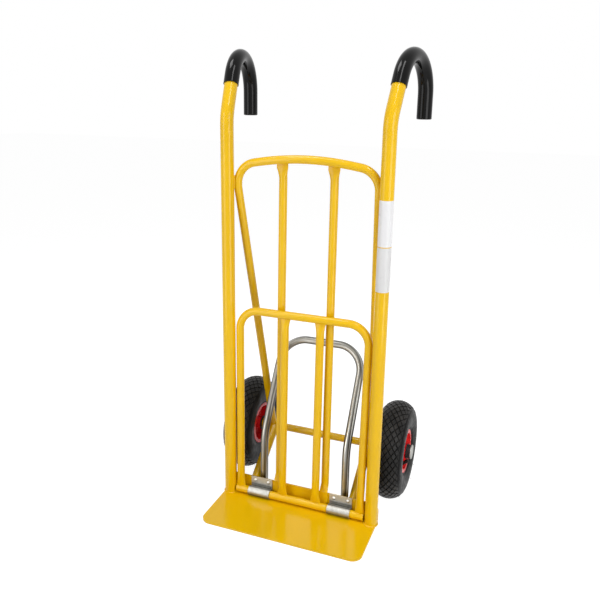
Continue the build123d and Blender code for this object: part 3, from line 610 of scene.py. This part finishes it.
class Repeater(Wiring):
    """A geometry node tree that repeats a shape, and its baking into a plain mesh."""

    KINDS = {int: "NodeSocketInt", float: "NodeSocketFloat", Vector: "NodeSocketVector",
             bpy.types.Material: "NodeSocketMaterial"}

    def __init__(self, name: str, inputs: Mapping[str, type]) -> None:
        """Starts a tree.

        Args:
            name: The tree's name.
            inputs: The names of its inputs, with what each one holds.
        """
        super().__init__(bpy.data.node_groups.new(name, "GeometryNodeTree"))
        face = self.tree.interface
        face.new_socket("Geometry", in_out="INPUT", socket_type="NodeSocketGeometry")
        face.new_socket("Geometry", in_out="OUTPUT", socket_type="NodeSocketGeometry")
        self.identifiers = {
            label: face.new_socket(label, in_out="INPUT", socket_type=self.KINDS[kind]).identifier
            for label, kind in inputs.items()
        }
        self.start = self.add("NodeGroupInput")

    def given(self, label: str) -> Socket:
        """The socket of one of the tree's inputs."""
        return self.start.outputs[label]

    def close(self, points: Socket, shape: Socket, turn: Socket, scale: object = (1, 1, 1)) -> None:
        """Ends the tree: repeats a shape, makes the repeats real and gives them their finish.

        Args:
            points: Where the repeats go.
            shape: What is repeated.
            turn: How each repeat is turned.
            scale: How large each repeat is.
        """
        inputs = {"Points": points, "Instance": shape, "Rotation": turn, "Scale": scale}
        copies = self.add("GeometryNodeInstanceOnPoints", inputs)
        real = self.add("GeometryNodeRealizeInstances", {"Geometry": copies.outputs[0]})
        finished = self.add(
            "GeometryNodeSetMaterial", {"Geometry": real.outputs[0], "Material": self.given("Finish")}
        )
        self.add("NodeGroupOutput", {"Geometry": finished.outputs[0]})

    def bake(self, base: Mesh, values: Mapping[str, object]) -> Mesh:
        """Runs the tree on a mesh.

        Args:
            base: The mesh that the tree starts from.
            values: A value for each input, by its name.

        Returns:
            The result as a plain mesh.
        """
        holder = add_object("repeat_holder", base)
        modifier = holder.modifiers.new("repeat", "NODES")
        modifier.node_group = self.tree
        for label, value in values.items():
            modifier[self.identifiers[label]] = value
        graph = bpy.context.evaluated_depsgraph_get()
        made = bpy.data.meshes.new_from_object(holder.evaluated_get(graph), depsgraph=graph)
        holder.modifiers.remove(modifier)
        bpy.data.objects.remove(holder)
        return made


class RingRepeater(Repeater):
    """Repeats a shape at even steps round a wheel's axle."""

    def __init__(self) -> None:
        """Builds the tree: points at the axle, each with its own turn about it."""
        super().__init__("repeat_round_axle", {"Count": int, "Axle": Vector, "Finish": bpy.types.Material})
        count = self.given("Count")
        points = self.add("GeometryNodePoints", {"Count": count, "Position": self.given("Axle")})
        index = self.add("GeometryNodeInputIndex")
        step = self.math("DIVIDE", math.tau, count)
        turn = self.add("ShaderNodeCombineXYZ", {"X": self.math("MULTIPLY", index.outputs[0], step)})
        rotation = self.add("FunctionNodeEulerToRotation", {"Euler": turn.outputs[0]})
        self.close(points.outputs[0], self.given("Geometry"), rotation.outputs[0])


class BeadRepeater(Repeater):
    """Lays the overlapping ripples of a weld along a line."""

    CHANGE = (0.86, 1.14)

    def __init__(self) -> None:
        """Builds the tree: evenly spaced drops, turned along the line, each a little different."""
        super().__init__(
            "weld_ripples", {"Pitch": float, "Size": Vector, "Seed": int, "Finish": bpy.types.Material}
        )
        line = self.add("GeometryNodeMeshToCurve", {0: self.given("Geometry")})
        steps = {"Curve": line.outputs[0], "Length": self.given("Pitch")}
        even = self.add("GeometryNodeResampleCurve", steps, mode="LENGTH")
        along = self.add("GeometryNodeInputTangent")
        turned = self.add("FunctionNodeAlignRotationToVector", {"Vector": along.outputs[0]}, axis="X")
        drop = self.add("GeometryNodeMeshIcoSphere", {"Radius": 1.0, "Subdivisions": 2})
        smooth = self.add("GeometryNodeSetShadeSmooth", {0: drop.outputs[0]})
        least, most = self.CHANGE
        limits = {2: least, 3: most, "Seed": self.given("Seed")}
        change = self.add("FunctionNodeRandomValue", limits, data_type="FLOAT")
        whole = {0: self.given("Size"), "Scale": change.outputs[1]}
        size = self.add("ShaderNodeVectorMath", whole, operation="SCALE")
        self.close(even.outputs[0], smooth.outputs[0], turned.outputs[0], size.outputs[0])


def line_mesh(lines: Iterable[Sequence[Vector]]) -> Mesh:
    """A mesh of open lines.

    Args:
        lines: The points of each line.

    Returns:
        A mesh that holds only edges.
    """
    points: list[Vector] = []
    edges: list[tuple[int, int]] = []
    for line in lines:
        first = len(points)
        points.extend(line)
        edges.extend((first + step, first + step + 1) for step in range(len(line) - 1))
    mesh = bpy.data.meshes.new("lines")
    mesh.from_pydata(points, edges, [])
    return mesh


@dataclass
class Tyre:
    """A pneumatic tyre: carcass with ribbed walls, and diamond tread blocks over the crown.

    The raised rings each have a radius, a half width and a height in millimetres. The hairs each have a turn
    about the axle in radians, and a place across the crown in millimetres.
    """

    side: Side
    body: Body
    centre: Vector
    half_width: float = 41 * MM
    outer_radius: float = 130 * MM
    bend: float = 46.4 * MM
    crown_half: float = 38 * MM
    floor_gap: float = 1 * MM
    waist_radius: float = 91 * MM
    shoulder_radius: float = 118.5 * MM
    seat_radius: float = 51 * MM
    bead_half: float = 31 * MM
    lip_radius: float = 58.1 * MM
    lower_pull: float = 0.43
    upper_pull: float = 0.72
    rings: tuple[Point, ...] = ((66, 2.2, 1.0), (103, 1.6, 0.6))
    sections: int = 144
    wall_steps: int = 24
    floor_steps: int = 10
    groove: float = 3.2 * MM
    root_depth: float = 4.48 * MM
    root_share: float = 1.1
    face_share: float = 0.84
    bevel: float = 0.8 * MM
    corner_cut: float = 0.12
    shoulder_sink: float = 1.6 * MM
    pitches: int = 36
    columns: int = 11
    block_width: float = 16 * MM
    gap: float = 3.6 * MM
    gap_across: float = 0.62
    gap_around: float = 0.72
    hair_places: tuple[Pair, ...] = ((5.84, 2), (1.7, -32), (2.7, 32), (3.46, 52), (3.9, 48), (4.1, -36))
    hair_length: float = 6 * MM
    hair_radius: float = 0.9 * MM
    hair_root: float = 0.5 * MM
    hair_lean: float = 0.3
    hair_corners: Point = (0, 2.1, 4.2)

    def wall(self) -> list[Pair]:
        """The outer wall from the rim's lip to the shoulder.

        Returns:
            Points, as distances along and from the axle.
        """
        points = []
        for step in range(self.wall_steps + 1):
            radius = self.lip_radius + (self.shoulder_radius - self.lip_radius) * step / self.wall_steps
            if radius < self.waist_radius:
                pull, end = self.lower_pull, self.lip_radius
            else:
                pull, end = self.upper_pull, self.outer_radius
            reach = (radius - self.waist_radius) / (end - self.waist_radius)
            points.append((self.half_width * math.sqrt(max(0.0, 1 - pull * reach**2)), radius))
        return points

    def crown(self, along: float, depth: float = 0.0) -> Vector:
        """A point on the crown, measured along its curve from the middle.

        Args:
            along: Distance along the curve, across the tyre.
            depth: How far below the tread's face the point lies.

        Returns:
            The point, above an axle that runs through the origin.
        """
        turn = along / self.bend
        x = (self.bend - depth) * math.sin(turn)
        return Vector((x, 0.0, self.outer_radius - self.bend + (self.bend - depth) * math.cos(turn)))

    def carcass(self) -> Mesh:
        """The carcass: bead, walls with two raised rings, and the floor of the tread's grooves.

        Returns:
            The carcass, in place.
        """
        steps = self.floor_steps
        floor = [self.crown(self.crown_half * step / steps, self.groove) for step in range(steps + 1)]
        right = [(self.bead_half, self.seat_radius)] + self.ringed(self.wall())
        right = [point for point in right if point[1] < floor[-1].z - self.floor_gap]
        right += [(point.x, point.z) for point in reversed(floor)]
        left = [(-x, radius) for x, radius in reversed(right[:-1])]
        return self.turned(right + left)

    def ringed(self, wall: list[Pair]) -> list[Pair]:
        """Adds raised rings to the wall: one next to the rim and one below the tread.

        Args:
            wall: The plain wall's points.

        Returns:
            The points with the rings.
        """
        out = []
        for x, radius in wall:
            rises = (rise * math.exp(-(((radius / MM - at) / half) ** 2)) for at, half, rise in self.rings)
            out.append((x + sum(rises) * MM, radius))
        return out

    def turned(self, profile: list[Pair]) -> Mesh:
        """Turns a closed profile about the axle.

        Args:
            profile: Distances along and from the axle.

        Returns:
            The ring, in place.
        """
        shape = bmesh.new()
        rows = []
        for step in range(self.sections):
            turn = math.tau * step / self.sections
            back, up = -math.sin(turn), math.cos(turn)
            points = [self.centre + Vector((x, radius * back, radius * up)) for x, radius in profile]
            rows.append([shape.verts.new(point) for point in points])
        for step, row in enumerate(rows):
            following = rows[(step + 1) % self.sections]
            for number in range(len(profile)):
                after = (number + 1) % len(profile)
                shape.faces.new((row[number], row[after], following[after], following[number]))
        return to_mesh("carcass", shape, smooth_angle=50.0)

    def block(self, shape: bmesh.types.BMesh, along: float, turn: float, sunk: float) -> None:
        """Adds one diamond tread block with a bevelled face.

        Args:
            shape: The shape to add to.
            along: The block's place across the crown.
            turn: The block's place round the axle, in radians.
            sunk: How far its face lies below the others.
        """
        wide = self.block_width / 2 - self.gap * self.gap_across
        tall = math.pi / self.pitches - self.gap * self.gap_around / self.outer_radius
        cut = self.corner_cut
        half = [(1.0, -cut), (1.0, cut), (cut, 1.0), (-cut, 1.0)]
        corners = half + [(-across, -around) for across, around in half]
        levels = ((self.root_share, self.root_depth), (1.0, sunk + self.bevel), (self.face_share, sunk))
        rings = []
        for scale, depth in levels:
            ring = []
            for across, around in corners:
                point = self.crown(along + across * wide * scale, depth)
                ring.append(shape.verts.new(Matrix.Rotation(turn + around * tall * scale, 3, "X") @ point))
            rings.append(ring)
        for low, high in zip(rings, rings[1:]):
            for number in range(len(corners)):
                after = (number + 1) % len(corners)
                shape.faces.new((low[number], low[after], high[after], high[number]))
        shape.faces.new(rings[-1])
        shape.faces.new(reversed(rings[0]))

    def tread(self) -> Mesh:
        """All the tread blocks: one pitch of them, repeated round the axle.

        Returns:
            The blocks, in place.
        """
        shape = bmesh.new()
        last = (self.columns - 1) / 2
        for column in range(self.columns):
            offset = column - last
            shift = math.pi / self.pitches if column % 2 else 0.0
            sunk = self.shoulder_sink if abs(offset) == last else 0.0
            self.block(shape, offset * self.block_width / 2, shift, sunk)
        pitch = to_mesh("tread_pitch", shape, smooth_angle=25.0)
        values = {"Count": self.pitches, "Axle": self.centre, "Finish": TREAD.material()}
        return RING.bake(pitch, values)

    def hairs(self) -> Mesh:
        """Thin moulding hairs left on the tread, at uneven steps.

        Returns:
            The hairs, in place.
        """
        shape = bmesh.new()
        for number, (turn, along) in enumerate(self.hair_places):
            root = self.crown(along * MM, self.hair_root)
            outward = (root - Vector((0, 0, self.outer_radius - self.bend))).normalized()
            lean = Vector((0.0, self.hair_lean * (-1) ** number, 0))
            tip = root + (outward + lean).normalized() * self.hair_length
            across = outward.orthogonal().normalized() * self.hair_radius
            base = [root + Matrix.Rotation(angle, 3, outward) @ across for angle in self.hair_corners]
            spin = Matrix.Rotation(turn, 3, "X")
            ring = [shape.verts.new(self.centre + spin @ point) for point in base]
            end = shape.verts.new(self.centre + spin @ tip)
            for first, second in ((0, 1), (1, 2), (2, 0)):
                shape.faces.new((ring[first], ring[second], end))
            shape.faces.new(reversed(ring))
        return to_mesh("hairs", shape)

    def build(self) -> None:
        """Makes the tyre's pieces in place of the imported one."""
        word = self.side.word
        add_piece(f"{word}_tyre_carcass", self.carcass(), CARCASS, self.body, [f"{word}_tyre"])
        add_piece(f"{word}_tyre_tread", self.tread(), TREAD, self.body)
        add_piece(f"{word}_tyre_hairs", self.hairs(), CARCASS, self.body)


@dataclass
class Wheel:
    """One wheel: its tyre, red rim halves and hub, black bushes and small parts."""

    side: Side

    def build(self) -> None:
        """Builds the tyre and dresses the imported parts."""
        word = self.side.word
        body = Body.LEFT_WHEEL if self.side is Side.LEFT else Body.RIGHT_WHEEL
        low, high = (Vector(corner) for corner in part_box(f"{word}_tyre"))
        Tyre(self.side, body, (low + high) / 2).build()
        # The outer rims get the lighter copy of the red: painted light.
        dress(LIT_RED, f"{word}_outer_rim")
        dress(RED, f"{word}_inner_rim", f"{word}_hub")
        dress(PLASTIC, f"{word}_bearings")
        dress(SMALL_RUBBER, f"{word}_valve", f"{word}_valve_cap")
        dress(AIR_TUBE, f"{word}_inner_tube")
        dress(ZINC, f"{word}_rim_bolts", f"{word}_rim_nuts")


@dataclass
class Labels:
    """The two blank labels on the front of the right upright. Sizes are in millimetres, angles in degrees."""

    turn: float = 14.0
    half_angle: float = 80.0
    corner: float = 2
    film: Pair = (0.02, 0.18)
    upper: Pair = (720, 824)
    lower: Pair = (615, 718)
    rows: int = 24
    columns: int = 20

    def build(self) -> None:
        """Sticks the labels on."""
        add_piece("upper_label", self.label(*self.upper), WHITE_FILM, Body.FRAME)
        add_piece("lower_label", self.label(*self.lower), GREY_FILM, Body.FRAME)

    def half_spread(self, near: float) -> float:
        """Half the angle that a film covers, less at its rounded corners.

        Args:
            near: Distance to the nearer of its lower and upper edges.

        Returns:
            The angle in radians.
        """
        cut = 0.0
        if near < self.corner:
            cut = self.corner - math.sqrt(max(0.0, self.corner**2 - (self.corner - near) ** 2))
        return math.radians(self.half_angle) - cut / UPRIGHT_RADIUS

    def label(self, low: float, high: float) -> Mesh:
        """A film that follows the upright.

        Args:
            low: Height of its lower edge.
            high: Height of its upper edge.

        Returns:
            The film, in place.
        """
        shape = bmesh.new()
        inner, outer = (UPRIGHT_RADIUS + depth for depth in self.film)
        rows, columns = self.rows, self.columns
        grid = []
        for row in range(rows + 1):
            height = low + (high - low) * row / rows
            spread = self.half_spread(min(height - low, high - height))
            foot = Vector((UPRIGHT_X, UPRIGHT_Y, height))
            line = []
            for column in range(columns + 1):
                turn = math.radians(self.turn) + spread * (2 * column / columns - 1)
                way = Vector((math.sin(turn), -math.cos(turn), 0))
                line.append([shape.verts.new((foot + way * reach) * MM) for reach in (outer, inner)])
            grid.append(line)
        for row in range(rows):
            for column in range(columns):
                a, b = grid[row][column], grid[row][column + 1]
                c, d = grid[row + 1][column + 1], grid[row + 1][column]
                shape.faces.new((a[0], b[0], c[0], d[0]))
                shape.faces.new((d[1], c[1], b[1], a[1]))
        border = [grid[0][column] for column in range(columns + 1)]
        border += [grid[row][columns] for row in range(1, rows + 1)]
        border += [grid[rows][column] for column in range(columns - 1, -1, -1)]
        border += [grid[row][0] for row in range(rows - 1, 0, -1)]
        for number, here in enumerate(border):
            after = border[(number + 1) % len(border)]
            shape.faces.new((here[1], after[1], after[0], here[0]))
        return to_mesh("label", shape, smooth_angle=60.0)


@dataclass
class Welds:
    """The weld beads that show. Sizes are in millimetres.

    A bead lies off an upright's foot by a gap outward and a gap upward. A folding foot has its distance from
    the truck's middle, half its width and half its thickness.
    """

    plate_top: float = 5
    foot_gap: Pair = (0.6, 0.5)
    foot_turns: tuple[int, int, int] = (-150, 151, 10)
    corner_turns: tuple[float, ...] = (0.4, 0.8, 1.2, 1.57)
    bar_x: float = 64.1
    bar_face: float = 15.2
    bar_half: float = 10.5
    bar_corner: float = 9
    bar_top: float = 52
    bar_bottom: float = 20
    arch_touch: Point = (-13.2, 9.0, 0)
    arch_way: Point = (-14.5, -21.2, 0)
    arch_reach: float = 3.6
    arch_heights: tuple[int, int, int] = (828, 857, 4)
    tube_reach: float = 10.2
    tube_steps: int = 24
    hinge_y: float = -73
    hinge_z: float = 17.7
    folding_feet: tuple[Point, ...] = ((46, 14.4, 3.1), (165.6, 13.1, 5.4))

    def build(self) -> None:
        """Lays the beads on the frame and on the folding frame."""
        coarse = {"Pitch": 2.2 * MM, "Size": Vector((1.9, 2.3, 2.0)) * MM, "Seed": 4}
        fine = {"Pitch": 1.5 * MM, "Size": Vector((1.3, 1.2, 1.2)) * MM, "Seed": 9}
        lines = [self.foot(side) for side in Side]
        lines += [self.arch(side, way) for side in Side for way in (1, -1)]
        self.lay("frame_welds", lines, coarse, Body.FRAME)
        self.lay("bar_foot_welds", [self.bar_foot(side) for side in Side], fine, Body.FRAME)
        lines = [self.folding_foot(side, *foot) for foot in self.folding_feet for side in Side]
        self.lay("folding_welds", lines, fine, Body.FOLDING)

    def lay(self, name: str, lines: list[list[Vector]], bead: Mapping[str, object], body: Body) -> None:
        """Lays a bead along lines and puts it into the scene.

        Args:
            name: The piece's name.
            lines: The points of each line, in millimetres.
            bead: The bead's pitch, size and seed.
            body: The body that it moves with.
        """
        base = line_mesh([point * MM for point in line] for line in lines)
        add_piece(name, BEAD.bake(base, {**bead, "Finish": YELLOW.material()}), YELLOW, body)

    def foot(self, side: Side) -> list[Vector]:
        """The line round an upright's foot on the toe plate, open at the back where the flange is.

        Args:
            side: The upright's side.

        Returns:
            The line's points.
        """
        out, up = self.foot_gap
        reach = UPRIGHT_RADIUS + out
        middle = Vector((side.value * UPRIGHT_X, UPRIGHT_Y, self.plate_top + up))
        turns = (math.radians(degree) for degree in range(*self.foot_turns))
        return [middle + Vector((math.sin(turn), -math.cos(turn), 0)) * reach for turn in turns]

    def bar_foot(self, side: Side) -> list[Vector]:
        """The line down, round and up a centre bar's flat foot on the front of the flange.

        Args:
            side: The bar's side.

        Returns:
            The line's points.
        """
        half, corner = self.bar_half, self.bar_corner
        outline = [(-half, self.bar_top), (-half, self.bar_bottom + corner)]
        for turn in self.corner_turns:
            across = -half + corner * (1 - math.cos(turn))
            outline.append((across, self.bar_bottom + corner * (1 - math.sin(turn))))
        outline += [(-across, height) for across, height in reversed(outline)]
        middle = Vector((side.value * self.bar_x, UPRIGHT_Y + self.bar_face, 0))
        return [middle + Vector((across, 0, height)) for across, height in outline]

    def arch(self, side: Side, way: int) -> list[Vector]:
        """The line where the arch's leg lies against an upright.

        Args:
            side: The upright's side.
            way: 1 for the line in front and -1 for the line behind.

        Returns:
            The line's points.
        """
        touch = Vector(self.arch_touch) + Vector(self.arch_way).normalized() * (self.arch_reach * way)
        x, y = side.value * (UPRIGHT_X + touch.x), UPRIGHT_Y + touch.y
        return [Vector((x, y, height)) for height in range(*self.arch_heights)]

    def folding_foot(self, side: Side, middle: float, half_wide: float, half_deep: float) -> list[Vector]:
        """The line round a foot of the folding frame, on the hinge bar.

        Args:
            side: The foot's side.
            middle: The foot's distance from the truck's middle.
            half_wide: Half its width.
            half_deep: Half its thickness.

        Returns:
            The line's points.
        """
        points = []
        for step in range(self.tube_steps + 1):
            turn = math.tau * step / self.tube_steps
            x = side.value * middle + half_wide * math.cos(turn)
            back = half_deep * math.sin(turn)
            rise = math.sqrt(self.tube_reach**2 - back**2)
            points.append(Vector((x, self.hinge_y + back, self.hinge_z + rise)))
        return points


@dataclass
class PaintedFrame:
    """The yellow frame with its labels and welds, the loop, and the axle's and hinge's small parts."""

    middle: tuple[str, ...] = ("toe_plate", "arch_tube", "axle", "hinge_bar", "folding_hoop")
    painted: tuple[str, ...] = ("upright", "lower_strut", "centre_bar", "axle_collar", "folding_bar")
    plated: tuple[str, ...] = ("hinge_strap", "loop_bolt", "loop_washer", "loop_nut")

    def build(self) -> None:
        """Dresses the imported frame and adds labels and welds."""
        dress(YELLOW, *self.middle)
        for side in Side:
            word = side.word
            dress(YELLOW, *(f"{word}_{name}" for name in self.painted))
            dress(VINYL, f"{word}_grip")
            dress(ZINC, *(f"{word}_{name}" for name in self.plated))
            # The axle caps get the darker copy of the zinc: painted shade.
            dress(SHADED_CAP_ZINC, f"{word}_axle_cap")
            dress(PLASTIC, f"{word}_axle_washer")
        dress(STEEL, "tilt_loop")
        dress(ZINC, "hinge_rivets")
        Labels().build()
        Welds().build()


@dataclass(frozen=True)
class Softbox:
    """One soft lamp of the studio."""

    name: str
    place: Point
    aim: Point
    wide: float
    tall: float
    power: float
    mirrored: bool = True

    def build(self) -> None:
        """Hangs the lamp."""
        lamp = bpy.data.lights.new(self.name, "AREA")
        lamp.shape = "RECTANGLE"
        lamp.size = self.wide
        lamp.size_y = self.tall
        lamp.energy = self.power
        holder = add_object(self.name, lamp)
        holder.visible_glossy = self.mirrored
        holder.location = self.place
        way = Vector(self.aim) - Vector(self.place)
        holder.rotation_euler = way.to_track_quat("-Z", "Y").to_euler()
        LOG.info("lamp %s", self.name)


@dataclass(frozen=True)
class Viewpoint:
    """The camera that the photograph was taken with.

    Angles are in degrees, the sensor is in millimetres, and focal length, centre and image are in pixels.
    """

    azimuth: float = 20.88
    pitch: float = 14.93
    roll: float = 0.91
    place: Point = (0.53551, -1.50134, 1.03417)
    focal: float = 661.88
    centre: Pair = (298.59, 276.69)
    image: float = 600.0
    sensor: float = 36.0
    sight: float = 50.0

    def build(self) -> None:
        """Sets up the camera."""
        turn, tilt, roll = (math.radians(value) for value in (self.azimuth, self.pitch, self.roll))
        way = Vector((-math.sin(turn) * math.cos(tilt), math.cos(turn) * math.cos(tilt), -math.sin(tilt)))
        right = Vector((math.cos(turn), math.sin(turn), 0.0))
        up = right.cross(way)
        across = right * math.cos(roll) + up * math.sin(roll)
        over = up * math.cos(roll) - right * math.sin(roll)
        camera = bpy.data.cameras.new("camera")
        camera.sensor_fit = "HORIZONTAL"
        camera.sensor_width = self.sensor
        camera.lens = self.sensor * self.focal / self.image
        camera.shift_x = 0.5 - self.centre[0] / self.image
        camera.shift_y = self.centre[1] / self.image - 0.5
        camera.clip_end = self.sight
        holder = add_object("camera", camera)
        turned = Matrix((across, over, -way)).transposed().to_4x4()
        holder.matrix_world = Matrix.Translation(self.place) @ turned
        bpy.context.scene.camera = holder


@dataclass
class Studio:
    """Pale floor, soft lamps, white surround and the camera."""

    floor_half: float = 14.0
    floor_level: float = -0.0004
    floor_tone: float = 0.8
    floor_glow: float = 0.94
    floor_shade: float = 0.3
    fill: float = 0.16

    def build(self) -> None:
        """Sets up everything round the object."""
        bpy.context.scene.view_settings.view_transform = "Standard"
        self.build_floor()
        self.build_world()
        for lamp in (
            Softbox("left_softbox", (-0.75, -1.05, 0.8), (0, 0, 0.62), 0.6, 1.5, 8.2),
            Softbox("right_softbox", (1.1, -0.65, 0.8), (0, 0, 0.62), 0.58, 1.5, 10.9),
            Softbox("top_softbox", (-0.62, -0.35, 2.5), (0, 0, 0.4), 0.66, 0.66, 12.8),
            Softbox("front_softbox", (0.57, -0.6, 2.35), (0.57, 0, 1.1), 0.35, 0.9, 9.8),
            Softbox("back_softbox", (-0.4, 2.0, 1.2), (0, 0, 0.55), 1.2, 1.2, 11.0, False),
        ):
            lamp.build()
        Viewpoint().build()
        LOG.info("studio ready")

    def seen(self, wiring: Wiring) -> Socket:
        """Finds the rays that see the background as it is: straight, mirrored and through glass.

        Args:
            wiring: The tree's wiring.

        Returns:
            1 for those rays and 0 for the rest.
        """
        path = wiring.add("ShaderNodeLightPath")
        straight = wiring.math("MAXIMUM", path.outputs["Is Camera Ray"], path.outputs["Is Glossy Ray"])
        return wiring.math("MAXIMUM", straight, path.outputs["Is Transmission Ray"])

    def build_floor(self) -> None:
        """Lays the floor, which shows white and keeps a soft shadow."""
        half = self.floor_half
        mesh = bpy.data.meshes.new("floor")
        outline = ((-half, -half), (half, -half), (half, half), (-half, half))
        mesh.from_pydata([(*corner, self.floor_level) for corner in outline], [], [(0, 1, 2, 3)])
        floor = add_object("floor", mesh)
        made = bpy.data.materials.new("studio_floor")
        made.use_nodes = True
        made.node_tree.nodes.clear()
        wiring = Wiring(made.node_tree)
        plain, white, shade = (
            wiring.add(kind, {"Color": (tone, tone, tone, 1.0)}).outputs[0]
            for kind, tone in (
                ("ShaderNodeBsdfDiffuse", self.floor_tone),
                ("ShaderNodeEmission", self.floor_glow),
                ("ShaderNodeBsdfDiffuse", self.floor_shade),
            )
        )
        shown = wiring.add("ShaderNodeAddShader", {0: white, 1: shade}).outputs[0]
        both = wiring.add("ShaderNodeMixShader", {0: self.seen(wiring), 1: plain, 2: shown})
        wiring.add("ShaderNodeOutputMaterial", {"Surface": both.outputs[0]})
        mesh.materials.append(made)

    def build_world(self) -> None:
        """Makes the surround: white where it is seen, and a lower fill light on the object."""
        world = bpy.data.worlds.new("surround")
        bpy.context.scene.world = world
        world.use_nodes = True
        world.node_tree.nodes.clear()
        wiring = Wiring(world.node_tree)
        limits = {"Value": self.seen(wiring), "To Min": self.fill, "To Max": 1.0}
        strength = wiring.add("ShaderNodeMapRange", limits).outputs[0]
        back = wiring.add("ShaderNodeBackground", {"Color": (1.0, 1.0, 1.0, 1.0), "Strength": strength})
        wiring.add("ShaderNodeOutputWorld", {"Surface": back.outputs[0]})


RING = RingRepeater()
BEAD = BeadRepeater()


def main() -> None:
    """Builds the sub-assemblies in order."""
    logging.basicConfig(level=logging.INFO, format="%(name)s %(message)s")
    PaintedFrame().build()
    for side in Side:
        Wheel(side).build()
    Studio().build()
    bpy.context.view_layer.update()


if __name__ == "__main__":
    main()
